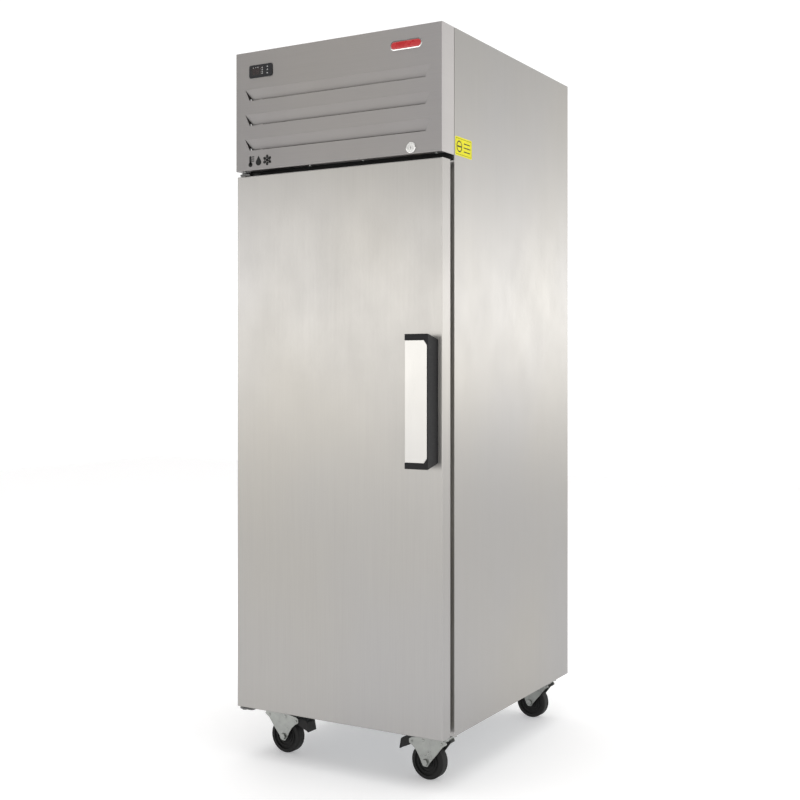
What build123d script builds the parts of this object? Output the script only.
"""Single-door reach-in refrigerator on casters, with a top-mounted condensing unit.

Frame: millimetres, +Z up, the door faces -Y and its hinges are on the -X side.
The origin is on the floor, under the middle of the whole object's box.
"""

from build123d import *
import os
from math import atan2, cos, degrees, pi, radians, sin

os.makedirs("parts", exist_ok=True)

# ---- driving dimensions ----
WIDTH = 686.0                # over the side panels
SIDE_HEIGHT = 1920.0         # a side panel, from its lower edge to the top
SIDE_BOTTOM = 144.0          # lower edge of the side panels above the floor
DEPTH = 866.0                # door front to cabinet back
HANDLE_REACH = 58.0          # how far the handle stands out from the door
DOOR_STANDOFF = 68.0         # door front to the cabinet's front face
DOOR_SKIN_DEPTH = 45.0       # folded depth of the door's outer skin
DOOR_BOTTOM_GAP = 4.0        # door's lower edge above the side panels' lower edge
DOOR_TOP_DROP = 361.0        # door's upper edge below the top
PANEL_HEIGHT = 346.0         # louvred front panel
PANEL_PROUD = 5.0            # louvred panel in front of the door
SHEET = 1.2                  # stainless sheet
THIN = 1.0                   # liner and door sheet
GAP = 0.2                    # between neighbouring pieces of one assembly
SIDE_WALL = 55.0             # insulated wall thicknesses
BACK_WALL = 62.0
FLOOR_WALL = 65.0
CEILING_WALL = 59.0
WHEEL_RADIUS = 50.8          # 4 inch caster
RUNNING = 0.05               # radial clearance of a shaft in its hole
HELD = 0.02                  # radial clearance of a pin held fast in its hole
FRONT_FLANGE = 30.0          # folded edges of a side panel
BACK_FLANGE = 16.0

# ---- places that follow from them ----
HALF = WIDTH / 2
TOP = SIDE_BOTTOM + SIDE_HEIGHT
HANDLE_FRONT = -(DEPTH + HANDLE_REACH) / 2
DOOR_FRONT = HANDLE_FRONT + HANDLE_REACH
PANEL_FRONT = DOOR_FRONT - PANEL_PROUD
CAB_FRONT = DOOR_FRONT + DOOR_STANDOFF
CAB_BACK = DOOR_FRONT + DEPTH
DOOR_REAR = DOOR_FRONT + DOOR_SKIN_DEPTH
DOOR_HALF = HALF - 1.0
DOOR_BOTTOM = SIDE_BOTTOM + DOOR_BOTTOM_GAP
DOOR_TOP = TOP - DOOR_TOP_DROP
PANEL_BOTTOM = TOP - PANEL_HEIGHT
INNER_HALF = HALF - SIDE_WALL
INNER_BACK = CAB_BACK - BACK_WALL
INNER_FLOOR = SIDE_BOTTOM + FLOOR_WALL
DECK = 1700.0                # underside of the machine deck
INNER_CEILING = DECK - CEILING_WALL - THIN
LINER_FRONT = CAB_FRONT + 18.0
HINGE_X = -DOOR_HALF + 14.0
HINGE_Y = DOOR_FRONT + 20.0


def slab(x_range, y_range, z_range, mode=Mode.ADD):
    """Add or cut a plain rectangular slab between two corners."""
    sizes = [abs(b - a) for a, b in (x_range, y_range, z_range)]
    middle = [(a + b) / 2 for a, b in (x_range, y_range, z_range)]
    with Locations(tuple(middle)):
        Box(*sizes, mode=mode)


def rod(start, axis, radius, length, mode=Mode.ADD):
    """Add or cut a round bar that starts at a point and runs along an axis."""
    with Locations(Plane(origin=start, z_dir=axis)):
        Cylinder(radius, length, align=(Align.CENTER, Align.CENTER, Align.MIN), mode=mode)


def hexagon(start, axis, across_flats, height):
    """Add a hexagon head or nut."""
    with BuildSketch(Plane(origin=start, z_dir=axis)) as outline:
        RegularPolygon(radius=across_flats / 2, side_count=6, major_radius=False)
    extrude(outline.sketch, amount=height)


# ======================= cabinet shell =======================
def side_panel(side):
    """One full-height sheet with its edges folded inwards at front, back and top."""
    outer = side * HALF
    with BuildPart() as panel:
        slab((outer - side * SHEET, outer), (CAB_FRONT, CAB_BACK), (SIDE_BOTTOM, TOP))
        slab((outer - side * FRONT_FLANGE, outer), (CAB_FRONT, CAB_FRONT + SHEET), (SIDE_BOTTOM, TOP))
        slab((outer - side * BACK_FLANGE, outer), (CAB_BACK - SHEET, CAB_BACK), (SIDE_BOTTOM, TOP))
        slab((outer - side * BACK_FLANGE, outer), (CAB_FRONT, CAB_BACK), (TOP - SHEET, TOP))
        corners = panel.edges().filter_by(Axis.Z).filter_by_position(Axis.X, outer, outer)
        fillet(corners, radius=0.9)
    return panel


left_side_panel = side_panel(-1)
left_side_panel.part.label = "left_side_panel"
export_step(left_side_panel.part, "parts/left_side_panel.step")

right_side_panel = side_panel(1)
right_side_panel.part.label = "right_side_panel"
export_step(right_side_panel.part, "parts/right_side_panel.step")

SKIN_HALF = HALF - SHEET - GAP
SWITCH_X = 200.0
SWITCH_Z = INNER_CEILING + 11.5
SWITCH_BODY = 10.0           # radii of the door switch
SWITCH_NECK = 7.0
PLUNGER_RADIUS = 4.0
RIB_PITCH = 200.0            # pressed stiffening ribs of the back panel
RIB_WIDTH = 14.0
RIB_MARGIN = 150.0

with BuildPart() as back_panel:
    back_y = (CAB_BACK - 2 * SHEET - GAP, CAB_BACK - SHEET - GAP)
    slab((-SKIN_HALF, SKIN_HALF), back_y, (SIDE_BOTTOM + 1.5, DECK))
    with BuildSketch(Plane.XZ.offset(-back_y[1])):
        with Locations((0, (SIDE_BOTTOM + DECK) / 2)):
            with GridLocations(RIB_PITCH, 0, 3, 1):
                SlotOverall(DECK - SIDE_BOTTOM - 2 * RIB_MARGIN, RIB_WIDTH, rotation=90)
    extrude(amount=-1.0)
back_panel.part.label = "back_panel"
export_step(back_panel.part, "parts/back_panel.step")

FOAM_Z = (SIDE_BOTTOM + 1.6, DECK - GAP)
FOAM_FRONT = CAB_FRONT + SHEET + GAP
FOAM_BACK = CAB_BACK - 2 * SHEET - 2 * GAP
FOAM_INNER = INNER_HALF + THIN + GAP

with BuildPart() as cabinet_foam:
    for side in (-1, 1):
        slab((side * FOAM_INNER, side * SKIN_HALF), (FOAM_FRONT, FOAM_BACK), FOAM_Z)
    core = (-FOAM_INNER + GAP, FOAM_INNER - GAP)
    slab(core, (INNER_BACK + THIN + GAP, FOAM_BACK), FOAM_Z)
    slab(core, (FOAM_FRONT, INNER_BACK + THIN), (FOAM_Z[0], INNER_FLOOR - THIN - GAP))
    slab(core, (FOAM_FRONT, INNER_BACK + THIN), (INNER_CEILING + THIN + GAP, FOAM_Z[1]))
    rod((SWITCH_X, FOAM_FRONT - 1, SWITCH_Z), (0, 1, 0), SWITCH_BODY + 0.3, 35.0, Mode.SUBTRACT)
cabinet_foam.part.label = "cabinet_foam"
export_step(cabinet_foam.part, "parts/cabinet_foam.step")

with BuildPart() as cabinet_liner:
    for side in (-1, 1):
        slab((side * INNER_HALF, side * (INNER_HALF + THIN)), (LINER_FRONT, INNER_BACK + THIN),
             (INNER_FLOOR - THIN, INNER_CEILING + THIN))
    span = (-INNER_HALF + GAP, INNER_HALF - GAP)
    slab(span, (INNER_BACK, INNER_BACK + THIN), (INNER_FLOOR + GAP, INNER_CEILING - GAP))
    slab(span, (LINER_FRONT, INNER_BACK + THIN), (INNER_FLOOR - THIN, INNER_FLOOR))
    slab(span, (LINER_FRONT, INNER_BACK + THIN), (INNER_CEILING, INNER_CEILING + THIN))
cabinet_liner.part.label = "cabinet_liner"
export_step(cabinet_liner.part, "parts/cabinet_liner.step")

FRAME_OUTER = HALF - FRONT_FLANGE - GAP
HEAD_RAIL_TOP = DECK + 12.0

with BuildPart() as front_frame:
    frame_y = (CAB_FRONT, CAB_FRONT + SHEET)
    for side in (-1, 1):
        slab((side * INNER_HALF, side * FRAME_OUTER), frame_y, (SIDE_BOTTOM, HEAD_RAIL_TOP))
    rail = (-INNER_HALF + GAP, INNER_HALF - GAP)
    slab(rail, frame_y, (SIDE_BOTTOM, INNER_FLOOR))
    slab(rail, frame_y, (INNER_CEILING, HEAD_RAIL_TOP))
    rod((SWITCH_X, CAB_FRONT - 1, SWITCH_Z), (0, 1, 0), SWITCH_NECK + 0.2, 5.0, Mode.SUBTRACT)
front_frame.part.label = "front_frame"
export_step(front_frame.part, "parts/front_frame.step")

BREAKER = 4.0                # thickness of the plastic strip around the opening
OPENING_HALF = INNER_HALF - BREAKER
TRIM_LEFT = -SKIN_HALF + 40.0        # head trim, clear of the top hinge bracket
TRIM_BOTTOM = PANEL_BOTTOM - 14.0
TRIM_TOP = PANEL_BOTTOM + 22.0
TRIM_FRONT = CAB_FRONT - 7.0
TRIM_REAR = CAB_FRONT - 0.3

with BuildPart() as breaker_strip:
    strip_y = (CAB_FRONT + GAP, LINER_FRONT - GAP)
    for side in (-1, 1):
        slab((side * OPENING_HALF, side * (INNER_HALF - GAP)), strip_y, (INNER_FLOOR, INNER_CEILING))
    inside = (-OPENING_HALF + GAP, OPENING_HALF - GAP)
    slab(inside, strip_y, (INNER_FLOOR, INNER_FLOOR + BREAKER))
    slab(inside, strip_y, (INNER_CEILING - BREAKER, INNER_CEILING))
    # a head trim of the same plastic closes the recess between the door's top and the louvred panel
    with BuildSketch(Plane.YZ.offset(TRIM_LEFT)):
        with BuildLine():
            Polyline((TRIM_REAR, TRIM_BOTTOM), (TRIM_REAR, TRIM_TOP), (TRIM_FRONT, TRIM_TOP),
                     (TRIM_FRONT, TRIM_BOTTOM + 6), close=True)
        make_face()
    extrude(amount=SKIN_HALF - 1 - TRIM_LEFT)
breaker_strip.part.label = "breaker_strip"
export_step(breaker_strip.part, "parts/breaker_strip.step")

GLAND_RADIUS = 9.0           # cord gland, through the deck's rear upstand
GLAND_X = -250.0
GLAND_Y = CAB_BACK - SHEET - GAP - 14.0
GLAND_Z = DECK + 32.0
DECK_FRONT_FLANGE = 40.0
DECK_BACK_FLANGE = 60.0

with BuildPart() as machine_deck:
    deck_y = (CAB_FRONT + 5, CAB_BACK - SHEET - GAP)
    slab((-SKIN_HALF, SKIN_HALF), deck_y, (DECK, DECK + SHEET))
    slab((-SKIN_HALF, SKIN_HALF), (deck_y[0], deck_y[0] + SHEET), (DECK, DECK + DECK_FRONT_FLANGE))
    slab((-SKIN_HALF, SKIN_HALF), (GLAND_Y, GLAND_Y + SHEET), (DECK, DECK + DECK_BACK_FLANGE))
    rod((GLAND_X, GLAND_Y - 6, GLAND_Z), (0, 1, 0), GLAND_RADIUS + 0.1, 12.0, Mode.SUBTRACT)
machine_deck.part.label = "machine_deck"
export_step(machine_deck.part, "parts/machine_deck.step")

RAIL_INNER = 233.0
RAIL_OUTER = 303.0
RAIL_BOTTOM = SIDE_BOTTOM - 14.0
RAIL_WALL = 2.0
RAIL_SETBACK = 3.0
CROSS_DEPTH = 30.0           # the channels that join the two rails

with BuildPart() as base_frame:
    slab((-SKIN_HALF, SKIN_HALF), (FOAM_FRONT, FOAM_BACK), (SIDE_BOTTOM, SIDE_BOTTOM + 1.4))
    for side in (-1, 1):
        x_rail = (side * RAIL_INNER, side * RAIL_OUTER)
        slab(x_rail, (CAB_FRONT + RAIL_SETBACK, CAB_BACK - RAIL_SETBACK), (RAIL_BOTTOM, SIDE_BOTTOM))
        hollow = (side * (RAIL_INNER + RAIL_WALL), side * (RAIL_OUTER - RAIL_WALL))
        hollow_y = (CAB_FRONT + RAIL_SETBACK + RAIL_WALL, CAB_BACK - RAIL_SETBACK - RAIL_WALL)
        slab(hollow, hollow_y, (RAIL_BOTTOM + RAIL_WALL, SIDE_BOTTOM - GAP), Mode.SUBTRACT)
    for y in (CAB_FRONT + RAIL_SETBACK, CAB_BACK - RAIL_SETBACK - CROSS_DEPTH):
        far = y + CROSS_DEPTH
        slab((-RAIL_INNER, RAIL_INNER), (y, far), (RAIL_BOTTOM, RAIL_BOTTOM + RAIL_WALL))
        slab((-RAIL_INNER, RAIL_INNER), (y, y + RAIL_WALL), (RAIL_BOTTOM, SIDE_BOTTOM))
        slab((-RAIL_INNER, RAIL_INNER), (far - RAIL_WALL, far), (RAIL_BOTTOM, SIDE_BOTTOM))
base_frame.part.label = "base_frame"
export_step(base_frame.part, "parts/base_frame.step")

# ======================= louvred front panel =======================
LOUVRE_RISE = 33.0
LOUVRE_PITCH = 72.5
LOUVRE_FIRST = TOP - 143.0           # lower edge of the top louvre
LOUVRE_DEPTH = 11.0                  # how far a flap's lower edge is bent in
LOUVRE_TOP_HALF = HALF - 34.0
LOUVRE_BOTTOM_HALF = HALF - 50.0
FLAP_CLEARANCE = 0.8
FLAP_SLIT = 3.6                      # left open below a flap's lower edge
CONTROL_X = -HALF + 91.0             # middle of the controller
CONTROL_Z = TOP - 59.5
CONTROL_CUTOUT = (72.0, 30.0)
LOCK_X = HALF - 94.0
LOCK_Z = PANEL_BOTTOM + 17.0
PANEL_REAR = CAB_FRONT - 3.0          # leaves a shadow gap to the side panels
SCREW_XS = (-320.0, -89.0, 89.0, 320.0)
SCREW_Y = PANEL_FRONT + 14.0
SCREW_RADIUS = 2.0
SCREW_HEAD = (4.2, 2.2)              # radius and height
RETURN_DEPTH = 24.0                  # folded upper and lower edges of the panel
LOCK_BODY = 9.4                      # radius behind the panel

with BuildPart() as louver_panel:
    slab((-HALF, HALF), (PANEL_FRONT, PANEL_REAR), (PANEL_BOTTOM, TOP))
    fillet(louver_panel.edges().group_by(Axis.Y)[0], radius=2.2)
    slab((-HALF + SHEET, HALF - SHEET), (PANEL_FRONT + SHEET, PANEL_REAR + 1),
         (PANEL_BOTTOM + SHEET, TOP - SHEET), Mode.SUBTRACT)
    for z in (PANEL_BOTTOM, TOP - SHEET):
        slab((-HALF + SHEET, HALF - SHEET), (PANEL_FRONT + RETURN_DEPTH, PANEL_REAR + 1),
             (z - 1, z + SHEET + 1), Mode.SUBTRACT)
    louvre_lows = [LOUVRE_FIRST - LOUVRE_PITCH * row for row in range(3)]
    # Each opening is a trapezoid, cut through the sheet.
    with BuildSketch(Plane.XZ.offset(-PANEL_FRONT + 1)):
        for low in louvre_lows:
            with BuildLine():
                Polyline((-LOUVRE_BOTTOM_HALF, low), (LOUVRE_BOTTOM_HALF, low),
                         (LOUVRE_TOP_HALF, low + LOUVRE_RISE), (-LOUVRE_TOP_HALF, low + LOUVRE_RISE),
                         close=True)
            make_face()
    extrude(amount=-(SHEET + 2), mode=Mode.SUBTRACT)
    # The flap is the same trapezoid, bent inwards about its upper edge.
    tilt = degrees(atan2(LOUVRE_DEPTH, LOUVRE_RISE))
    reach = LOUVRE_RISE / cos(radians(tilt)) - FLAP_SLIT
    flap_top = LOUVRE_TOP_HALF - FLAP_CLEARANCE
    flap_bottom = LOUVRE_BOTTOM_HALF - FLAP_CLEARANCE
    for low in louvre_lows:
        hinge_line = (0, PANEL_FRONT + 0.5, low + LOUVRE_RISE)
        down = (0, sin(radians(tilt)), -cos(radians(tilt)))
        with BuildSketch(Plane(origin=hinge_line, x_dir=(1, 0, 0), z_dir=(0, -down[2], down[1]))):
            with BuildLine():
                Polyline((-flap_top, -0.8), (flap_top, -0.8), (flap_top, 0), (flap_bottom, reach),
                         (-flap_bottom, reach), (-flap_top, 0), close=True)
            make_face()
        extrude(amount=SHEET)
    cut_x, cut_z = CONTROL_CUTOUT
    slab((CONTROL_X - cut_x / 2, CONTROL_X + cut_x / 2), (PANEL_FRONT - 1, PANEL_FRONT + 3),
         (CONTROL_Z - cut_z / 2, CONTROL_Z + cut_z / 2), Mode.SUBTRACT)
    rod((LOCK_X, PANEL_FRONT - 1, LOCK_Z), (0, 1, 0), LOCK_BODY + 0.2, 5.0, Mode.SUBTRACT)
    with BuildSketch(Plane.XY.offset(PANEL_BOTTOM - 1)):
        for x in SCREW_XS:
            with Locations((x, SCREW_Y)):
                Circle(SCREW_RADIUS + 0.2)
    extrude(amount=4, mode=Mode.SUBTRACT)
louver_panel.part.label = "louver_panel"
export_step(louver_panel.part, "parts/louver_panel.step")

with BuildPart() as louver_screws:
    for x in SCREW_XS:
        rod((x, SCREW_Y, PANEL_BOTTOM - GAP), (0, 0, -1), *SCREW_HEAD)
        rod((x, SCREW_Y, PANEL_BOTTOM - GAP), (0, 0, 1), SCREW_RADIUS, 12.0)
        slab((x - 3, x + 3), (SCREW_Y - 0.5, SCREW_Y + 0.5), (PANEL_BOTTOM - 3, PANEL_BOTTOM - 1.6),
             Mode.SUBTRACT)
louver_screws.part.label = "louver_screws"
export_step(louver_screws.part, "parts/louver_screws.step")

# ======================= temperature controller =======================
BEZEL_PROUD = 3.5
BEZEL_FRONT = PANEL_FRONT - BEZEL_PROUD
BEZEL_SIZE = (82.0, 37.0)
CASE_DEPTH = 56.0
WINDOW_X = (CONTROL_X - 34.0, CONTROL_X + 12.0)
WINDOW_HALF = 13.0
WINDOW_RECESS = 1.6
KEY_X = CONTROL_X + 25.5
KEY_PITCH = 9.6
KEY_SIZE = (9.0, 6.0)
KEY_TRAVEL = 0.8
KEY_FLOOR = BEZEL_FRONT + 3.4

with BuildPart() as controller_housing:
    with BuildSketch(Plane.XZ.offset(-(PANEL_FRONT - GAP))):
        with Locations((CONTROL_X, CONTROL_Z)):
            RectangleRounded(*BEZEL_SIZE, 6)
    extrude(amount=BEZEL_PROUD - GAP)
    fillet(controller_housing.edges().group_by(Axis.Y)[0], radius=1.2)
    case_x, case_z = [size / 2 - 0.5 for size in CONTROL_CUTOUT]
    slab((CONTROL_X - case_x, CONTROL_X + case_x), (PANEL_FRONT - 1, PANEL_FRONT + CASE_DEPTH),
         (CONTROL_Z - case_z, CONTROL_Z + case_z))
    # window recess and one pocket for each key
    slab(WINDOW_X, (BEZEL_FRONT - 1, BEZEL_FRONT + WINDOW_RECESS),
         (CONTROL_Z - WINDOW_HALF, CONTROL_Z + WINDOW_HALF), Mode.SUBTRACT)
    with BuildSketch(Plane.XZ.offset(-KEY_FLOOR)):
        with Locations((KEY_X, CONTROL_Z)):
            with GridLocations(0, KEY_PITCH, 1, 3):
                RectangleRounded(KEY_SIZE[0] + 0.8, KEY_SIZE[1] + 0.8, 1.6)
    extrude(amount=10, mode=Mode.SUBTRACT)
controller_housing.part.label = "controller_housing"
export_step(controller_housing.part, "parts/controller_housing.step")

with BuildPart() as controller_display:
    slab((WINDOW_X[0] + GAP, WINDOW_X[1] - GAP), (BEZEL_FRONT + GAP, BEZEL_FRONT + WINDOW_RECESS - 0.1),
         (CONTROL_Z - WINDOW_HALF + GAP, CONTROL_Z + WINDOW_HALF - GAP))
    fillet(controller_display.edges().filter_by(Axis.Y), radius=2.0)
controller_display.part.label = "controller_display"
export_step(controller_display.part, "parts/controller_display.step")


def control_key(row):
    """One key cap, row +1, 0 or -1 counted upwards from the middle of the column."""
    with BuildPart() as key:
        with BuildSketch(Plane.XZ.offset(-(KEY_FLOOR - KEY_TRAVEL - 0.4))):
            with Locations((KEY_X, CONTROL_Z + row * KEY_PITCH)):
                RectangleRounded(*KEY_SIZE, 1.2)
        extrude(amount=2.7)
        fillet(key.edges().group_by(Axis.Y)[0], radius=0.5)
    return key


key_up = control_key(1)
key_up.part.label = "key_up"
export_step(key_up.part, "parts/key_up.step")

key_set = control_key(0)
key_set.part.label = "key_set"
export_step(key_set.part, "parts/key_set.step")

key_down = control_key(-1)
key_down.part.label = "key_down"
export_step(key_down.part, "parts/key_down.step")

# ======================= cam lock =======================
PLUG_RADIUS = 7.0
ESCUTCHEON_RADIUS = 14.8
CAM_Y = PANEL_FRONT + 28.0
CAM_REACH = 46.0

with BuildPart() as lock_housing:
    rod((LOCK_X, PANEL_FRONT - GAP, LOCK_Z), (0, -1, 0), ESCUTCHEON_RADIUS, 3.2)
    fillet(lock_housing.edges().group_by(Axis.Y)[0], radius=1.6)
    rod((LOCK_X, PANEL_FRONT - GAP, LOCK_Z), (0, 1, 0), LOCK_BODY, 24.0)
    rod((LOCK_X, PANEL_FRONT - 10, LOCK_Z), (0, 1, 0), PLUG_RADIUS + RUNNING, 50.0, Mode.SUBTRACT)
lock_housing.part.label = "lock_housing"
export_step(lock_housing.part, "parts/lock_housing.step")

with BuildPart() as lock_barrel:
    rod((LOCK_X, PANEL_FRONT - 3.0, LOCK_Z), (0, 1, 0), PLUG_RADIUS, CAM_Y + 3 - PANEL_FRONT + 3.0)
    slab((LOCK_X - 0.6, LOCK_X + 0.6), (PANEL_FRONT - 4, PANEL_FRONT + 6), (LOCK_Z - 4, LOCK_Z + 4),
         Mode.SUBTRACT)
    with BuildSketch(Plane.XZ.offset(-CAM_Y)):
        with Locations((LOCK_X + (CAM_REACH - 8) / 2, LOCK_Z)):
            SlotOverall(CAM_REACH + 8, 16)
    extrude(amount=-2.5)
lock_barrel.part.label = "lock_barrel"
export_step(lock_barrel.part, "parts/lock_barrel.step")

# ======================= hinges =======================
PIN_RADIUS = 6.0
BRACKET_X = (-HALF + 1.6, -HALF + 38.0)
BRACKET_FRONT = HINGE_Y - 12.0
BRACKET_LIFT = 4.0           # the top bracket above the door
BRACKET_SHEET = 5.0
LOWER_BRACKET_X = (BRACKET_X[0], BRACKET_X[1] + 12.0)
LOWER_BRACKET_SHEET = 4.5
LOWER_BRACKET_Z = SIDE_BOTTOM - LOWER_BRACKET_SHEET
BUSH_RADIUS = 9.0
BUSH_LENGTH = 32.0
PIN_HEAD = (9.0, 3.0)        # radius and height

with BuildPart() as top_hinge_bracket:
    bracket_z = DOOR_TOP + BRACKET_LIFT
    slab(BRACKET_X, (BRACKET_FRONT, CAB_FRONT - GAP), (bracket_z, bracket_z + BRACKET_SHEET))
    slab(BRACKET_X, (CAB_FRONT - 4.2, CAB_FRONT - GAP), (bracket_z, DOOR_TOP + 38))
    fillet(top_hinge_bracket.edges().filter_by(Axis.Z).group_by(Axis.Y)[0], radius=8)
    rod((HINGE_X, HINGE_Y, DOOR_TOP), (0, 0, 1), PIN_RADIUS + HELD, 20, Mode.SUBTRACT)
top_hinge_bracket.part.label = "top_hinge_bracket"
export_step(top_hinge_bracket.part, "parts/top_hinge_bracket.step")

with BuildPart() as bottom_hinge_bracket:
    slab(LOWER_BRACKET_X, (BRACKET_FRONT, CAB_FRONT + 46), (LOWER_BRACKET_Z, SIDE_BOTTOM - GAP))
    fillet(bottom_hinge_bracket.edges().filter_by(Axis.Z).group_by(Axis.Y)[0], radius=8)
    # narrower where it passes beside the base rail
    slab((-RAIL_OUTER - 0.4, LOWER_BRACKET_X[1] + 1), (CAB_FRONT + 2, CAB_FRONT + 47),
         (LOWER_BRACKET_Z - 1, SIDE_BOTTOM), Mode.SUBTRACT)
    rod((HINGE_X, HINGE_Y, SIDE_BOTTOM - 10), (0, 0, 1), PIN_RADIUS + HELD, 20, Mode.SUBTRACT)
    for y in (CAB_FRONT + 14, CAB_FRONT + 34):
        hexagon((BRACKET_X[0] + 19, y, LOWER_BRACKET_Z), (0, 0, -1), 10.0, 4.0)
bottom_hinge_bracket.part.label = "bottom_hinge_bracket"
export_step(bottom_hinge_bracket.part, "parts/bottom_hinge_bracket.step")

with BuildPart() as hinge_pins:
    rod((HINGE_X, HINGE_Y, DOOR_TOP - 20), (0, 0, 1), PIN_RADIUS, 30.0)
    rod((HINGE_X, HINGE_Y, SIDE_BOTTOM - 5), (0, 0, 1), PIN_RADIUS, 28.0)
    rod((HINGE_X, HINGE_Y, DOOR_TOP + BRACKET_LIFT + BRACKET_SHEET + GAP), (0, 0, 1), *PIN_HEAD)
    rod((HINGE_X, HINGE_Y, LOWER_BRACKET_Z - GAP), (0, 0, -1), *PIN_HEAD)
hinge_pins.part.label = "hinge_pins"
export_step(hinge_pins.part, "parts/hinge_pins.step")

with BuildPart() as hinge_bushes:
    for mouth, into in ((DOOR_TOP, -1), (DOOR_BOTTOM, 1)):
        rod((HINGE_X, HINGE_Y, mouth), (0, 0, into), BUSH_RADIUS, BUSH_LENGTH)
        rod((HINGE_X, HINGE_Y, mouth), (0, 0, -into), BUSH_RADIUS + 3, 2.0)
        rod((HINGE_X, HINGE_Y, mouth - into * 3), (0, 0, into), PIN_RADIUS + RUNNING, 31.0, Mode.SUBTRACT)
hinge_bushes.part.label = "hinge_bushes"
export_step(hinge_bushes.part, "parts/hinge_bushes.step")

# ======================= door =======================
SLOT_X = (LOCK_X - 12.0, LOCK_X + 42.0)
SLOT_Y = (CAM_Y - 4.0, CAM_Y + 6.5)
SLOT_BOTTOM = DOOR_TOP - 20.0
DOOR_FOLD = 15.0             # folded edge round the back of the door's skin
FOAM_GAP = 0.4

with BuildPart() as door_skin:
    slab((-DOOR_HALF, DOOR_HALF), (DOOR_FRONT, DOOR_REAR), (DOOR_BOTTOM, DOOR_TOP))
    fillet(door_skin.edges().group_by(Axis.Y)[0], radius=2.5)
    inner = DOOR_HALF - THIN
    slab((-inner, inner), (DOOR_FRONT + THIN, DOOR_REAR - THIN), (DOOR_BOTTOM + THIN, DOOR_TOP - THIN),
         Mode.SUBTRACT)
    fold = DOOR_HALF - DOOR_FOLD
    slab((-fold, fold), (DOOR_REAR - 2, DOOR_REAR + 1), (DOOR_BOTTOM + DOOR_FOLD, DOOR_TOP - DOOR_FOLD),
         Mode.SUBTRACT)
    slab(SLOT_X, SLOT_Y, (DOOR_TOP - 2, DOOR_TOP + 1), Mode.SUBTRACT)
    for z in (DOOR_BOTTOM - 1, DOOR_TOP - 2):
        rod((HINGE_X, HINGE_Y, z), (0, 0, 1), BUSH_RADIUS + 0.2, 3.0, Mode.SUBTRACT)
door_skin.part.label = "door_skin"
export_step(door_skin.part, "parts/door_skin.step")

with BuildPart() as door_foam:
    inset = THIN + FOAM_GAP
    slab((-DOOR_HALF + inset, DOOR_HALF - inset), (DOOR_FRONT + inset, DOOR_REAR - inset),
         (DOOR_BOTTOM + inset, DOOR_TOP - inset))
    for z in (DOOR_BOTTOM, DOOR_TOP - BUSH_LENGTH - 1):
        rod((HINGE_X, HINGE_Y, z), (0, 0, 1), BUSH_RADIUS + 0.3, BUSH_LENGTH + 1, Mode.SUBTRACT)
    slab(SLOT_X, SLOT_Y, (SLOT_BOTTOM, DOOR_TOP), Mode.SUBTRACT)
door_foam.part.label = "door_foam"
export_step(door_foam.part, "parts/door_foam.step")

GASKET_MARGIN = 16.0
GASKET_OUTER = DOOR_HALF - GASKET_MARGIN
GASKET_WIDTH = 26.0
LINER_HALF = GASKET_OUTER - GASKET_WIDTH - GAP
DOOR_MIDDLE = (DOOR_BOTTOM + DOOR_TOP) / 2
LINER_RISE = (DOOR_TOP - DOOR_BOTTOM) / 2 - GASKET_MARGIN - GASKET_WIDTH - GAP
PAN_MARGIN = 28.0            # flat edge round the raised middle of the inner panel

with BuildPart() as door_inner_panel:
    slab((-LINER_HALF, LINER_HALF), (DOOR_REAR + GAP, DOOR_REAR + 3),
         (DOOR_MIDDLE - LINER_RISE, DOOR_MIDDLE + LINER_RISE))
    with BuildSketch(Plane.XZ.offset(-(DOOR_REAR + 3))):
        with Locations((0, DOOR_MIDDLE)):
            RectangleRounded(2 * (LINER_HALF - PAN_MARGIN), 2 * (LINER_RISE - PAN_MARGIN), 20)
    extrude(amount=-9.0, taper=25)
    # hollow behind the raised middle
    with BuildSketch(Plane.XZ.offset(-(DOOR_REAR + 9.5))):
        with Locations((0, DOOR_MIDDLE)):
            Rectangle(2 * (LINER_HALF - PAN_MARGIN - 17), 2 * (LINER_RISE - PAN_MARGIN - 17))
    extrude(amount=12.0, mode=Mode.SUBTRACT)
door_inner_panel.part.label = "door_inner_panel"
export_step(door_inner_panel.part, "parts/door_inner_panel.step")

GASKET_REAR = CAB_FRONT - 0.4


def gasket_profile(plane):
    """Section of the seal: a narrow foot on the door and a soft bulb towards the frame."""
    depth = GASKET_REAR - DOOR_REAR - GAP
    with BuildSketch(plane) as profile:
        with BuildLine():
            Polyline((7, 0), (19, 0), (19, 5), (GASKET_WIDTH, 7), (GASKET_WIDTH, depth - 2),
                     (GASKET_WIDTH - 2, depth), (2, depth), (0, depth - 2), (0, 7), (7, 5), close=True)
        make_face()
    return profile.sketch


with BuildPart() as door_gasket:
    base_y = DOOR_REAR + GAP
    low = DOOR_MIDDLE - LINER_RISE - GASKET_WIDTH - GAP
    high = DOOR_MIDDLE + LINER_RISE + GASKET_WIDTH + GAP
    for side in (-1, 1):
        upright = Plane(origin=(side * GASKET_OUTER, base_y, low), x_dir=(-side, 0, 0), z_dir=(0, 0, -side))
        extrude(gasket_profile(upright), amount=-side * (high - low))
    for level, inward in ((low, 1), (high, -1)):
        reach_x = GASKET_OUTER - GASKET_WIDTH - GAP
        level_plane = Plane(origin=(-inward * reach_x, base_y, level), x_dir=(0, 0, inward),
                            z_dir=(-inward, 0, 0))
        extrude(gasket_profile(level_plane), amount=-2 * reach_x)
door_gasket.part.label = "door_gasket"
export_step(door_gasket.part, "parts/door_gasket.step")

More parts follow.
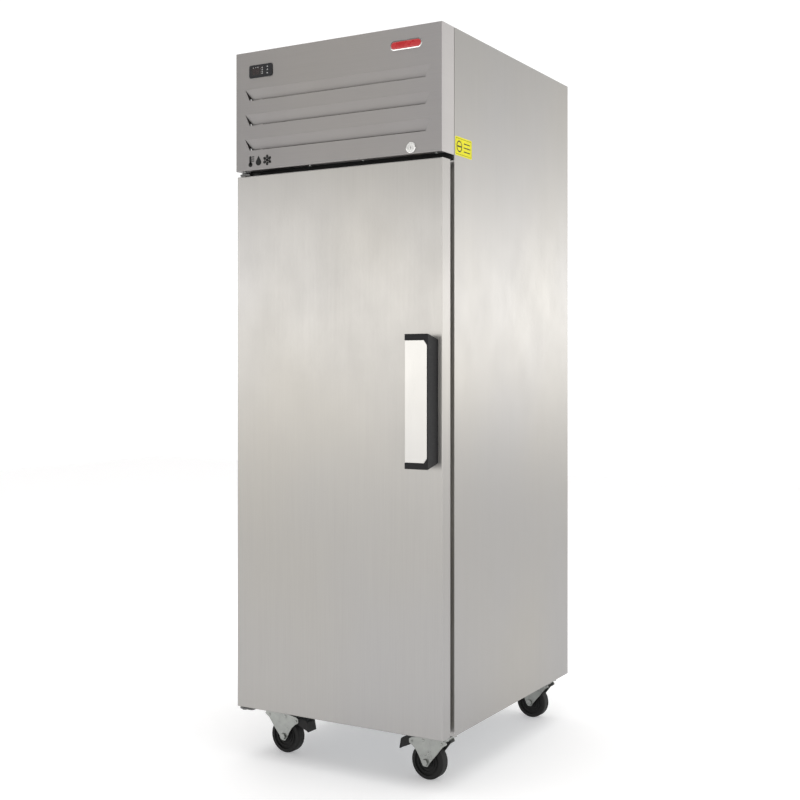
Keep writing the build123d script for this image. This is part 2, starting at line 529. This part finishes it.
# ======================= handle =======================
HANDLE_WIDTH = 70.0
HANDLE_RIGHT = DOOR_HALF - 12.6
HANDLE_X = (HANDLE_RIGHT - HANDLE_WIDTH, HANDLE_RIGHT)
HANDLE_Z = SIDE_BOTTOM + 909.0
HANDLE_TALL = 358.0                  # at the front
HANDLE_FOOT = 329.0                  # where it meets the door
HANDLE_BAND = 16.5
HANDLE_WALL = 6.0
PLATE_CORNER = (9.0, 13.0)
FOOT_Y = DOOR_FRONT - GAP
PLATE_SEAT = HANDLE_FRONT + 3.0


def handle_outline(inset_front, inset_foot, front_y, foot_y):
    """Side view of the handle: taller at the front than at the door."""
    with BuildLine() as outline:
        Polyline((front_y, HANDLE_Z - HANDLE_TALL / 2 + inset_front),
                 (foot_y, HANDLE_Z - HANDLE_FOOT / 2 + inset_foot),
                 (foot_y, HANDLE_Z + HANDLE_FOOT / 2 - inset_foot),
                 (front_y, HANDLE_Z + HANDLE_TALL / 2 - inset_front), close=True)
    make_face(outline.edges())


def plate_outline(margin):
    """Front view of the bright plate, with its two right-hand corners cut off."""
    left = HANDLE_X[0] - 1
    right = HANDLE_X[1] - 2.5 + margin
    half = HANDLE_TALL / 2 - HANDLE_BAND + margin
    with BuildLine() as outline:
        Polyline((left, HANDLE_Z - half), (right - PLATE_CORNER[0], HANDLE_Z - half),
                 (right, HANDLE_Z - half + PLATE_CORNER[1]), (right, HANDLE_Z + half - PLATE_CORNER[1]),
                 (right - PLATE_CORNER[0], HANDLE_Z + half), (left, HANDLE_Z + half), close=True)
    make_face(outline.edges())


with BuildPart() as handle_frame:
    with BuildSketch(Plane.YZ.offset(HANDLE_X[0])):
        handle_outline(0, 0, HANDLE_FRONT, FOOT_Y)
    extrude(amount=HANDLE_X[1] - HANDLE_X[0])
    vertical = handle_frame.edges().filter_by(Axis.Z).sort_by(Axis.Y)[:2].sort_by(Axis.X)[-1]
    fillet(vertical, radius=2.5)
    with BuildSketch(Plane.YZ.offset(HANDLE_X[0] - 5)):
        handle_outline(HANDLE_BAND + 1.5, 9.0, PLATE_SEAT + 4.0, FOOT_Y + 5)
    extrude(amount=HANDLE_X[1] - HANDLE_X[0] - HANDLE_WALL + 5, mode=Mode.SUBTRACT)
    with BuildSketch(Plane.XZ.offset(-PLATE_SEAT)):
        plate_outline(0.0)
    extrude(amount=10, mode=Mode.SUBTRACT)
handle_frame.part.label = "handle_frame"
export_step(handle_frame.part, "parts/handle_frame.step")

with BuildPart() as handle_plate:
    with BuildSketch(Plane.XZ.offset(-(PLATE_SEAT - 0.1))):
        plate_outline(-0.3)
    extrude(amount=PLATE_SEAT - HANDLE_FRONT - 0.1 - 0.3)
    slab((HANDLE_X[0] - 5, HANDLE_X[0] + 0.6), (HANDLE_FRONT - 5, PLATE_SEAT + 5),
         (HANDLE_Z - HANDLE_TALL, HANDLE_Z + HANDLE_TALL), Mode.SUBTRACT)
    fillet(handle_plate.edges().group_by(Axis.Y)[0], radius=0.8)
handle_plate.part.label = "handle_plate"
export_step(handle_plate.part, "parts/handle_plate.step")

# ======================= door switch =======================
PLUNGER_TIP = DOOR_REAR + 3.6

with BuildPart() as door_switch_housing:
    rod((SWITCH_X, CAB_FRONT + SHEET + GAP + 0.1, SWITCH_Z), (0, 1, 0), SWITCH_BODY, 28.0)
    rod((SWITCH_X, CAB_FRONT - 1.5, SWITCH_Z), (0, 1, 0), SWITCH_NECK, 5.0)
    rod((SWITCH_X, CAB_FRONT - 5, SWITCH_Z), (0, 1, 0), PLUNGER_RADIUS + RUNNING, 30.0, Mode.SUBTRACT)
door_switch_housing.part.label = "door_switch_housing"
export_step(door_switch_housing.part, "parts/door_switch_housing.step")

with BuildPart() as door_switch_plunger:
    rod((SWITCH_X, PLUNGER_TIP, SWITCH_Z), (0, 1, 0), PLUNGER_RADIUS, CAB_FRONT + 22 - PLUNGER_TIP)
    fillet(door_switch_plunger.edges().group_by(Axis.Y)[0], radius=2.0)
door_switch_plunger.part.label = "door_switch_plunger"
export_step(door_switch_plunger.part, "parts/door_switch_plunger.step")

# ======================= shelving =======================
SHELF_LEVELS = (430.0, 730.0, 1030.0, 1330.0)
SHELF_HALF = INNER_HALF - 9.0
SHELF_Y = (CAB_FRONT + 52.0, INNER_BACK - 20.0)
PILASTER_Y = (CAB_FRONT + 100.0, INNER_BACK - 80.0)
PILASTER_Z = (262.0, 1482.0)
PILASTER_HALF = 9.0
PILASTER_PITCH = 25.0        # between the slots
CLIP_REACH = 24.0            # a clip stands out from the liner this far
CLIP_HALF = 7.0
WIRE_PITCH = 24.0
WIRE = 1.7
BORDER = 3.2

with BuildPart() as shelf_pilasters:
    for side in (-1, 1):
        for y in PILASTER_Y:
            slab((side * (INNER_HALF - 3.2), side * (INNER_HALF - GAP)),
                 (y - PILASTER_HALF, y + PILASTER_HALF), PILASTER_Z)
        with BuildSketch(Plane.YZ.offset(side * (INNER_HALF - 4))):
            with Locations((sum(PILASTER_Y) / 2, sum(PILASTER_Z) / 2)):
                with GridLocations(PILASTER_Y[1] - PILASTER_Y[0], PILASTER_PITCH, 2, 47):
                    Rectangle(7, 10)
        extrude(amount=side * 2.6, mode=Mode.SUBTRACT)
shelf_pilasters.part.label = "shelf_pilasters"
export_step(shelf_pilasters.part, "parts/shelf_pilasters.step")

with BuildPart() as shelf_clips:
    for side in (-1, 1):
        root = side * (INNER_HALF - 3.4)
        end = side * (INNER_HALF - CLIP_REACH)
        for y in PILASTER_Y:
            for level in SHELF_LEVELS:
                low = level - BORDER - GAP
                with BuildSketch(Plane.XZ.offset(-(y - CLIP_HALF))):
                    with BuildLine():
                        Polyline((root, low), (end, low), (end, low - 4), (root, low - 18), close=True)
                    make_face()
                extrude(amount=-2 * CLIP_HALF)
shelf_clips.part.label = "shelf_clips"
export_step(shelf_clips.part, "parts/shelf_clips.step")

with BuildPart() as wire_shelf:
    # Border frame, bearers across it, and the long wires that lie on the bearers.
    for side in (-1, 1):
        rod((side * SHELF_HALF, SHELF_Y[0], 0), (0, 1, 0), BORDER, SHELF_Y[1] - SHELF_Y[0])
    bearer_ys = [SHELF_Y[0] + (SHELF_Y[1] - SHELF_Y[0]) * step / 4 for step in range(5)]
    for y in bearer_ys:
        rod((-SHELF_HALF - BORDER * 0.6, y, 0), (1, 0, 0), BORDER, 2 * SHELF_HALF + BORDER * 1.2)
    with BuildSketch(Plane.XZ.offset(-SHELF_Y[0])):
        with Locations((0, BORDER + WIRE * 0.6)):
            with GridLocations(WIRE_PITCH, 0, 23, 1):
                Circle(WIRE)
    extrude(amount=-(SHELF_Y[1] - SHELF_Y[0]))

with BuildPart() as wire_shelves:
    with Locations(*[(0, 0, level) for level in SHELF_LEVELS]):
        add(wire_shelf.part)
wire_shelves.part.label = "wire_shelves"
export_step(wire_shelves.part, "parts/wire_shelves.step")

# ======================= evaporator in the ceiling =======================
EVAP_Y = (70.0, INNER_BACK - 5.0)
EVAP_HALF = 268.0
EVAP_LOW = 1502.0
EVAP_HIGH = INNER_CEILING - GAP
EVAP_FAN_X = 0.0
EVAP_FAN_Z = (EVAP_LOW + EVAP_HIGH) / 2
EVAP_FAN_RADIUS = 56.0

with BuildPart() as evaporator_cover:
    slab((-EVAP_HALF, EVAP_HALF), EVAP_Y, (EVAP_LOW, EVAP_HIGH))
    front_low = evaporator_cover.edges().filter_by(Axis.X).group_by(Axis.Z)[0].sort_by(Axis.Y)[0]
    fillet(front_low, radius=14)
    slab((-EVAP_HALF + SHEET, EVAP_HALF - SHEET), (EVAP_Y[0] + SHEET, EVAP_Y[1] + 1),
         (EVAP_LOW + SHEET, EVAP_HIGH + 1), Mode.SUBTRACT)
    rod((EVAP_FAN_X, EVAP_Y[0] - 1, EVAP_FAN_Z), (0, 1, 0), EVAP_FAN_RADIUS + 4, 4, Mode.SUBTRACT)
    # guard rings and spokes over the fan
    for radius in (16, 30, 44, 60.5):
        with BuildSketch(Plane.XZ.offset(-EVAP_Y[0])):
            with Locations((EVAP_FAN_X, EVAP_FAN_Z)):
                Circle(radius)
                Circle(radius - 2, mode=Mode.SUBTRACT)
        extrude(amount=-1.2)
    with BuildSketch(Plane.XZ.offset(-EVAP_Y[0])):
        with Locations((EVAP_FAN_X, EVAP_FAN_Z)):
            Rectangle(123, 2.4)
            Rectangle(2.4, 123)
    extrude(amount=-1.2)
    # return-air slots in the floor of the cover
    with BuildSketch(Plane.XY.offset(EVAP_LOW - 1)):
        with Locations((0, 300)):
            with GridLocations(30, 0, 15, 1):
                SlotOverall(110, 8, rotation=90)
    extrude(amount=SHEET + 2, mode=Mode.SUBTRACT)
evaporator_cover.part.label = "evaporator_cover"
export_step(evaporator_cover.part, "parts/evaporator_cover.step")

with BuildPart() as evaporator_coil:
    slab((-235, 235), (225, 365), (EVAP_LOW + 12, EVAP_HIGH - 8))
    with BuildSketch(Plane.XZ.offset(-224)):
        with Locations((0, EVAP_FAN_Z)):
            with GridLocations(9, 0, 51, 1):
                Rectangle(6.5, 140)
    extrude(amount=-60, mode=Mode.SUBTRACT)
    for z in (EVAP_LOW + 32, EVAP_FAN_Z + 2, EVAP_HIGH - 30):
        for y in (243, 268):
            rod((-246, y, z), (1, 0, 0), 5.0, 492)
evaporator_coil.part.label = "evaporator_coil"
export_step(evaporator_coil.part, "parts/evaporator_coil.step")

FAN_SHAFT = 2.5

with BuildPart() as evaporator_fan_motor:
    rod((EVAP_FAN_X, 122, EVAP_FAN_Z), (0, 1, 0), 27, 58)
    fillet(evaporator_fan_motor.edges().filter_by(GeomType.CIRCLE), radius=3)
    rod((EVAP_FAN_X, 84, EVAP_FAN_Z), (0, 1, 0), FAN_SHAFT, 42)
    for side in (-1, 1):
        slab((EVAP_FAN_X + side * 20, EVAP_FAN_X + side * 84), (148, 152),
             (EVAP_FAN_Z - 9, EVAP_FAN_Z + 9))
        slab((EVAP_FAN_X + side * 80, EVAP_FAN_X + side * 84), (EVAP_Y[0] + SHEET + GAP, 152),
             (EVAP_FAN_Z - 9, EVAP_FAN_Z + 9))
evaporator_fan_motor.part.label = "evaporator_fan_motor"
export_step(evaporator_fan_motor.part, "parts/evaporator_fan_motor.step")


def fan_blade(centre, hub_radius, tip_radius, blades, depth):
    """Axial fan turning about Y: a bored hub with pitched, slightly overlapping blades."""
    with BuildPart() as fan:
        rod((centre[0], centre[1] - depth / 2, centre[2]), (0, 1, 0), hub_radius, depth)
        for blade in range(blades):
            turn = 360 / blades * blade
            outward = (cos(radians(turn)), 0, sin(radians(turn)))
            start = (centre[0] + outward[0] * (hub_radius - 2), centre[1],
                     centre[2] + outward[2] * (hub_radius - 2))
            chord = 2 * pi * hub_radius / blades
            with BuildSketch(Plane(origin=start, x_dir=(0, 1, 0), z_dir=outward)):
                Rectangle(depth * 0.9, 2.0, rotation=50)
            tip = tuple(centre[i] + outward[i] * (tip_radius - 3) for i in range(3))
            with BuildSketch(Plane(origin=tip, x_dir=(0, 1, 0), z_dir=outward)):
                Rectangle(chord * 2.2, 1.6, rotation=62)
            loft()
        rod((centre[0], centre[1] - depth, centre[2]), (0, 1, 0), FAN_SHAFT + RUNNING, 2 * depth,
            Mode.SUBTRACT)
    return fan


evaporator_fan_blade = fan_blade((EVAP_FAN_X, 97, EVAP_FAN_Z), 15, EVAP_FAN_RADIUS, 5, 20)
evaporator_fan_blade.part.label = "evaporator_fan_blade"
export_step(evaporator_fan_blade.part, "parts/evaporator_fan_blade.step")

with BuildPart() as interior_lamp:
    slab((-70, 70), (-80, -20), (INNER_CEILING - 6, INNER_CEILING - GAP))
    with BuildSketch(Plane.XY.offset(INNER_CEILING - 6)):
        with Locations((0, -50)):
            RectangleRounded(126, 46, 10)
    extrude(amount=-22, taper=12)
    fillet(interior_lamp.faces().sort_by(Axis.Z)[0].edges(), radius=5)
interior_lamp.part.label = "interior_lamp"
export_step(interior_lamp.part, "parts/interior_lamp.step")

# ======================= condensing unit on the deck =======================
UNIT_BASE = DECK + SHEET + GAP
UNIT_TOP = UNIT_BASE + 2.0
COIL_Y = (CAB_FRONT + 24.0, CAB_FRONT + 70.0)
COIL_Z = (UNIT_TOP + 4, UNIT_TOP + 250)
FAN_X = -30.0
FAN_Z = (COIL_Z[0] + COIL_Z[1]) / 2
FAN_RADIUS = 104.0
COMPRESSOR = (170.0, 110.0)

with BuildPart() as condensing_unit_base:
    slab((-270, 270), (COIL_Y[0] - 10, 250), (UNIT_BASE, UNIT_TOP))
    for y in (COIL_Y[0] - 10, 248):
        slab((-270, 270), (y, y + 2), (UNIT_BASE, UNIT_TOP + 14))
condensing_unit_base.part.label = "condensing_unit_base"
export_step(condensing_unit_base.part, "parts/condensing_unit_base.step")

with BuildPart() as condenser_coil:
    slab((FAN_X - 160, FAN_X + 160), COIL_Y, COIL_Z)
    for y, inwards in ((COIL_Y[0] - 1, -1), (COIL_Y[1] + 1, 1)):
        with BuildSketch(Plane.XZ.offset(-y)):
            with Locations((FAN_X, FAN_Z)):
                with GridLocations(7, 0, 44, 1):
                    Rectangle(5.2, 240)
        extrude(amount=inwards * 19, mode=Mode.SUBTRACT)
    for level in range(5):
        for y in (COIL_Y[0] + 12, COIL_Y[1] - 12):
            rod((FAN_X - 170, y, COIL_Z[0] + 25 + level * 49), (1, 0, 0), 5.0, 340)
condenser_coil.part.label = "condenser_coil"
export_step(condenser_coil.part, "parts/condenser_coil.step")

SHROUD_Y = COIL_Y[1] + 2.0

with BuildPart() as condenser_shroud:
    slab((FAN_X - 166, FAN_X + 166), (SHROUD_Y, SHROUD_Y + SHEET), (UNIT_TOP + GAP, COIL_Z[1] + 4))
    rod((FAN_X, SHROUD_Y, FAN_Z), (0, 1, 0), FAN_RADIUS + 6, 26)
    rod((FAN_X, SHROUD_Y - 1, FAN_Z), (0, 1, 0), FAN_RADIUS + 4.5, 40, Mode.SUBTRACT)
condenser_shroud.part.label = "condenser_shroud"
export_step(condenser_shroud.part, "parts/condenser_shroud.step")

FAN_Y = SHROUD_Y + 18.0
condenser_fan_blade = fan_blade((FAN_X, FAN_Y, FAN_Z), 24, FAN_RADIUS, 5, 26)
condenser_fan_blade.part.label = "condenser_fan_blade"
export_step(condenser_fan_blade.part, "parts/condenser_fan_blade.step")

with BuildPart() as condenser_fan_motor:
    rod((FAN_X, FAN_Y + 22, FAN_Z), (0, 1, 0), 34, 70)
    fillet(condenser_fan_motor.edges().filter_by(GeomType.CIRCLE), radius=4)
    rod((FAN_X, FAN_Y - 14, FAN_Z), (0, 1, 0), FAN_SHAFT, 40)
    slab((FAN_X - 24, FAN_X + 24), (FAN_Y + 40, FAN_Y + 80), (UNIT_TOP + GAP, UNIT_TOP + 4))
    slab((FAN_X - 16, FAN_X + 16), (FAN_Y + 54, FAN_Y + 58), (UNIT_TOP + GAP, FAN_Z - 20))
condenser_fan_motor.part.label = "condenser_fan_motor"
export_step(condenser_fan_motor.part, "parts/condenser_fan_motor.step")

MOUNT_HEIGHT = 12.0
FOOT_SPREAD = 78.0

with BuildPart() as compressor:
    shell_low = UNIT_TOP + MOUNT_HEIGHT + GAP
    rod((*COMPRESSOR, shell_low + 5), (0, 0, 1), 84.0, 174)
    rims = compressor.edges().filter_by(GeomType.CIRCLE).sort_by(Axis.Z)
    fillet(rims[0], radius=22)
    fillet(rims[-1], radius=48)
    rod((*COMPRESSOR, shell_low + 96), (0, 0, 1), 88.0, 6)
    with BuildSketch(Plane.XY.offset(shell_low)):
        with Locations(COMPRESSOR):
            RectangleRounded(2 * FOOT_SPREAD + 26, 2 * FOOT_SPREAD + 26, 22)
    extrude(amount=6)
    rod((COMPRESSOR[0] - 70, COMPRESSOR[1] + 20, shell_low + 120), (-1, 0, 0), 6.0, 26)
    slab((COMPRESSOR[0] + 60, COMPRESSOR[0] + 96), (COMPRESSOR[1] - 26, COMPRESSOR[1] + 26),
         (shell_low + 40, shell_low + 92))
compressor.part.label = "compressor"
export_step(compressor.part, "parts/compressor.step")

with BuildPart() as compressor_mounts:
    with BuildSketch(Plane.XY.offset(UNIT_TOP + GAP / 2)):
        with Locations(COMPRESSOR):
            with GridLocations(2 * FOOT_SPREAD, 2 * FOOT_SPREAD, 2, 2):
                Circle(11)
    extrude(amount=MOUNT_HEIGHT, taper=8)
compressor_mounts.part.label = "compressor_mounts"
export_step(compressor_mounts.part, "parts/compressor_mounts.step")

LINE_RADIUS = 4.0
SUCTION_Z = UNIT_TOP + MOUNT_HEIGHT + GAP + 120

with BuildPart() as refrigerant_lines:
    # suction line, down to the deck behind the compressor
    with BuildLine() as suction:
        FilletPolyline((COMPRESSOR[0] - 97, COMPRESSOR[1] + 20, SUCTION_Z),
                       (20, COMPRESSOR[1] + 20, SUCTION_Z), (20, 330, SUCTION_Z),
                       (20, 330, UNIT_BASE), radius=22)
    with BuildSketch(Plane(origin=suction.line @ 0, z_dir=suction.line % 0)):
        Circle(LINE_RADIUS + 1)
    sweep(path=suction.line)
    # liquid line with its filter drier
    with BuildLine() as liquid:
        FilletPolyline((FAN_X - 171, COIL_Y[0] + 12, COIL_Z[0] + 25),
                       (FAN_X - 205, COIL_Y[0] + 12, COIL_Z[0] + 25),
                       (FAN_X - 205, 290, COIL_Z[0] + 25), (-60, 290, COIL_Z[0] + 25),
                       (-60, 290, UNIT_BASE), radius=14)
    with BuildSketch(Plane(origin=liquid.line @ 0, z_dir=liquid.line % 0)):
        Circle(LINE_RADIUS)
    sweep(path=liquid.line)
    with BuildSketch(Plane(origin=(FAN_X - 205, -120, COIL_Z[0] + 25), z_dir=(0, 1, 0))):
        Circle(13)
    extrude(amount=110)
    fillet(refrigerant_lines.edges().filter_by(GeomType.CIRCLE).filter_by(lambda e: e.radius == 13),
           radius=7)
refrigerant_lines.part.label = "refrigerant_lines"
export_step(refrigerant_lines.part, "parts/refrigerant_lines.step")

with BuildPart() as electrical_box:
    slab((-336, -275), (150, 300), (DECK + SHEET + GAP, DECK + 100))
    fillet(electrical_box.edges().filter_by(Axis.Z), radius=4)
    slab((-339, -272), (147, 303), (DECK + 100, DECK + 103))
electrical_box.part.label = "electrical_box"
export_step(electrical_box.part, "parts/electrical_box.step")

GLAND_BORE = 5.0
GLAND_NUT = (22.0, 5.0)      # across flats, and height

with BuildPart() as cord_gland:
    rod((GLAND_X, GLAND_Y - 12, GLAND_Z), (0, 1, 0), GLAND_RADIUS, 24)
    hexagon((GLAND_X, GLAND_Y + SHEET + 0.1, GLAND_Z), (0, 1, 0), *GLAND_NUT)
    hexagon((GLAND_X, GLAND_Y - 0.1, GLAND_Z), (0, -1, 0), *GLAND_NUT)
    rod((GLAND_X, GLAND_Y - 20, GLAND_Z), (0, 1, 0), GLAND_BORE, 50, Mode.SUBTRACT)
cord_gland.part.label = "cord_gland"
export_step(cord_gland.part, "parts/cord_gland.step")

# ======================= casters =======================
SWIVEL_X = 268.0
FRONT_SWIVEL_Y = DOOR_FRONT + 115.0
REAR_SWIVEL_Y = CAB_BACK - 50.0
TRAIL = 28.0                 # wheel axle behind the swivel axis
PLATE = 4.0
PLATE_SIZE = (95.0, 67.0)
PLATE_BOTTOM = RAIL_BOTTOM - GAP - PLATE
CUP_BOTTOM = 119.0
FORK_TOP = 117.5
FORK_INNER = 20.5            # half the gap between the fork's legs
FORK_SHEET = 3.0
TREAD = 32.0
HUB = 38.0
AXLE_RADIUS = 5.0
KINGPIN_RADIUS = 6.0
PEDAL_PIVOT = (74.0, 102.0)  # outwards along the fork, and height
PEDAL_PIN = 3.0
PEDAL_HALF = FORK_INNER - 1.0
PEDAL_WALL = 2.4
PEDAL_REACH = 36.0           # from the pivot to the pedal's lip

# caster name: swivel x, swivel y, direction of the wheel from its swivel axis, brake or not
CASTERS = {
    "front_right": (SWIVEL_X, FRONT_SWIVEL_Y, 177.0, True),
    "front_left": (-SWIVEL_X, FRONT_SWIVEL_Y, -2.0, True),
    "rear_right": (SWIVEL_X, REAR_SWIVEL_Y, 176.0, False),
    "rear_left": (-SWIVEL_X, REAR_SWIVEL_Y, -9.0, False),
}

with BuildPart() as caster_plates:
    for x, y, *_ in CASTERS.values():
        with BuildSketch(Plane.XY.offset(PLATE_BOTTOM)):
            with Locations((x, y)):
                RectangleRounded(*PLATE_SIZE, 7)
        extrude(amount=PLATE)
        rod((x, y, CUP_BOTTOM), (0, 0, 1), 27.0, PLATE_BOTTOM - CUP_BOTTOM + 1)
        rod((x, y, FORK_TOP - 8), (0, 0, 1), KINGPIN_RADIUS, 14)
        rod((x, y, FORK_TOP - 9.5), (0, 0, 1), 11.0, 4.0)
        with BuildSketch(Plane.XY.offset(PLATE_BOTTOM - 1)):
            with Locations((x, y)):
                with GridLocations(PLATE_SIZE[0] - 20, PLATE_SIZE[1] - 20, 2, 2):
                    Circle(4.3)
        extrude(amount=PLATE + 2, mode=Mode.SUBTRACT)
caster_plates.part.label = "caster_plates"
export_step(caster_plates.part, "parts/caster_plates.step")

with BuildPart() as caster_bolts:
    for x, y, *_ in CASTERS.values():
        for dx in (-1, 1):
            for dy in (-1, 1):
                place = (x + dx * (PLATE_SIZE[0] / 2 - 10), y + dy * (PLATE_SIZE[1] / 2 - 10))
                hexagon((*place, PLATE_BOTTOM - GAP), (0, 0, -1), 13.0, 5.3)
                rod((*place, PLATE_BOTTOM - 1), (0, 0, 1), 4.0, PLATE + 1)
caster_bolts.part.label = "caster_bolts"
export_step(caster_bolts.part, "parts/caster_bolts.step")


def fork_plane(x, y, heading, shift=0.0):
    """Vertical plane through the swivel axis, its X along the heading and its Y upwards."""
    turn = radians(heading)
    normal = (sin(turn), -cos(turn), 0)
    origin = (x + normal[0] * shift, y + normal[1] * shift, 0)
    return Plane(origin=origin, x_dir=(cos(turn), sin(turn), 0), z_dir=normal)


def caster_fork(x, y, heading, brake):
    """Pressed fork: top plate on the swivel bearing, two tapering legs, axle bolt and nut."""
    tip = [(TRAIL + 12, WHEEL_RADIUS - 4), (TRAIL + 6, WHEEL_RADIUS - 12), (TRAIL - 6, WHEEL_RADIUS - 12),
           (TRAIL - 14, WHEEL_RADIUS)]
    back = [(-10, 79), (-26, 100), (-41, FORK_TOP - 8), (-36, FORK_TOP)]
    # a braked caster's legs reach out to an ear round the pedal's pivot
    pivot_u, pivot_z = PEDAL_PIVOT
    ear = [(46, FORK_TOP), (pivot_u - 1, pivot_z + 11), (pivot_u + 8, pivot_z + 6),
           (pivot_u + 8, pivot_z - 5), (pivot_u - 3, pivot_z - 11), (58, 79), (48, 63)]
    plain = [(46, FORK_TOP), (56, FORK_TOP - 8), (54, 88), (48, 66)]
    with BuildPart() as fork:
        for side in (-1, 1):
            with BuildSketch(fork_plane(x, y, heading, side * (FORK_INNER + FORK_SHEET / 2))):
                with BuildLine():
                    Polyline(*back, *(ear if brake else plain), *tip, close=True)
                make_face()
            extrude(amount=FORK_SHEET / 2, both=True)
        across = Axis((0, 0, 0), fork_plane(x, y, heading).z_dir)
        fillet(fork.edges().filter_by(across), radius=3.5)
        with BuildSketch(fork_plane(x, y, heading)):
            with Locations((2, FORK_TOP - 2.5)):
                Rectangle(64, 5)
        extrude(amount=FORK_INNER + 0.5, both=True)
        rod((x, y, FORK_TOP - 5), (0, 0, 1), 25.0, 5.0 + CUP_BOTTOM - FORK_TOP - 0.5)
        rod((x, y, FORK_TOP - 20), (0, 0, 1), KINGPIN_RADIUS + RUNNING, 40, Mode.SUBTRACT)
        with BuildSketch(fork_plane(x, y, heading)):
            with Locations((TRAIL, WHEEL_RADIUS)):
                Circle(AXLE_RADIUS + HELD)
        extrude(amount=40, both=True, mode=Mode.SUBTRACT)
        if brake:
            with BuildSketch(fork_plane(x, y, heading)):
                with Locations(PEDAL_PIVOT):
                    Circle(PEDAL_PIN)
            extrude(amount=FORK_INNER + FORK_SHEET + 2, both=True)
        # axle bolt with its head and nut
        outside = FORK_INNER + FORK_SHEET + GAP
        with BuildSketch(fork_plane(x, y, heading)):
            with Locations((TRAIL, WHEEL_RADIUS)):
                Circle(AXLE_RADIUS)
        extrude(amount=outside + 1, both=True)
        for side in (-1, 1):
            with BuildSketch(fork_plane(x, y, heading, side * (outside + 3))):
                with Locations((TRAIL, WHEEL_RADIUS)):
                    RegularPolygon(radius=8.0, side_count=6, major_radius=False)
            extrude(amount=3, both=True)
    return fork


def caster_wheel(x, y, heading):
    """Moulded wheel with raised rings on both faces, bored for its axle bolt."""
    plane = fork_plane(x, y, heading)
    with BuildPart() as wheel:
        with BuildSketch(plane):
            with Locations((TRAIL, WHEEL_RADIUS)):
                Circle(WHEEL_RADIUS)
        extrude(amount=TREAD / 2, both=True)
        rims = wheel.edges().filter_by(GeomType.CIRCLE).filter_by(lambda e: e.radius > WHEEL_RADIUS - 1)
        fillet(rims, radius=5)
        for side in (-1, 1):
            with BuildSketch(fork_plane(x, y, heading, side * TREAD / 2)):
                with Locations((TRAIL, WHEEL_RADIUS)):
                    Circle(39)
                    Circle(16, mode=Mode.SUBTRACT)
            extrude(amount=-side * 5, mode=Mode.SUBTRACT)
            for ring in (22, 30):
                with BuildSketch(fork_plane(x, y, heading, side * (TREAD / 2 - 5))):
                    with Locations((TRAIL, WHEEL_RADIUS)):
                        Circle(ring + 1.5)
                        Circle(ring - 1.5, mode=Mode.SUBTRACT)
                extrude(amount=side * 3)
        with BuildSketch(plane):
            with Locations((TRAIL, WHEEL_RADIUS)):
                Circle(13)
        extrude(amount=HUB / 2, both=True)
        with BuildSketch(plane):
            with Locations((TRAIL, WHEEL_RADIUS)):
                Circle(AXLE_RADIUS + RUNNING)
        extrude(amount=HUB, both=True, mode=Mode.SUBTRACT)
    return wheel


def brake_pedal(x, y, heading):
    """Foot lever on its pivot pin, raised when the caster rolls freely."""
    plane = fork_plane(x, y, heading)
    pivot_u, pivot_z = PEDAL_PIVOT
    lip = pivot_u + PEDAL_REACH
    with BuildPart() as pedal:
        # the tread plate with its turned-down lip
        with BuildSketch(plane):
            with BuildLine():
                Polyline((pivot_u - 8, pivot_z + 9), (pivot_u + 4, pivot_z + 9.5), (lip - 3, pivot_z + 4.5),
                         (lip + 2, pivot_z), (lip + 7, pivot_z - 27), (lip + 3.5, pivot_z - 27.5),
                         (lip - 2, pivot_z - 1), (lip - 6, pivot_z + 2), (pivot_u + 4, pivot_z + 6),
                         (pivot_u - 8, pivot_z + 5.5), close=True)
            make_face()
        extrude(amount=PEDAL_HALF, both=True)
        # a side wall at each end of it
        for side in (-1, 1):
            with BuildSketch(fork_plane(x, y, heading, side * (PEDAL_HALF - PEDAL_WALL / 2))):
                with BuildLine():
                    Polyline((pivot_u - 8, pivot_z - 4), (pivot_u - 8, pivot_z + 9),
                             (pivot_u + 4, pivot_z + 9.5), (lip - 3, pivot_z + 4.5), (lip + 2, pivot_z),
                             (lip + 7, pivot_z - 27), (pivot_u + 20, pivot_z - 18), close=True)
                make_face()
            extrude(amount=PEDAL_WALL / 2, both=True)
        # the hub on the pin, and the shoe that meets the tread when the pedal goes down
        with BuildSketch(plane):
            with Locations(PEDAL_PIVOT):
                Circle(6.5)
        extrude(amount=PEDAL_HALF, both=True)
        with BuildSketch(plane):
            with BuildLine():
                Polyline((pivot_u - 5, pivot_z), (pivot_u + 5, pivot_z), (pivot_u + 5, pivot_z - 13),
                         (pivot_u - 3, pivot_z - 14), close=True)
            make_face()
        extrude(amount=TREAD / 2 - 3, both=True)
        with BuildSketch(plane):
            with Locations(PEDAL_PIVOT):
                Circle(PEDAL_PIN + RUNNING)
        extrude(amount=40, both=True, mode=Mode.SUBTRACT)
    return pedal


for name, (x, y, heading, brake) in CASTERS.items():
    fork = caster_fork(x, y, heading, brake)
    fork.part.label = f"fork_{name}"
    export_step(fork.part, f"parts/fork_{name}.step")
    wheel = caster_wheel(x, y, heading)
    wheel.part.label = f"wheel_{name}"
    export_step(wheel.part, f"parts/wheel_{name}.step")
    if brake:
        pedal = brake_pedal(x, y, heading)
        pedal.part.label = f"brake_pedal_{name}"
        export_step(pedal.part, f"parts/brake_pedal_{name}.step")
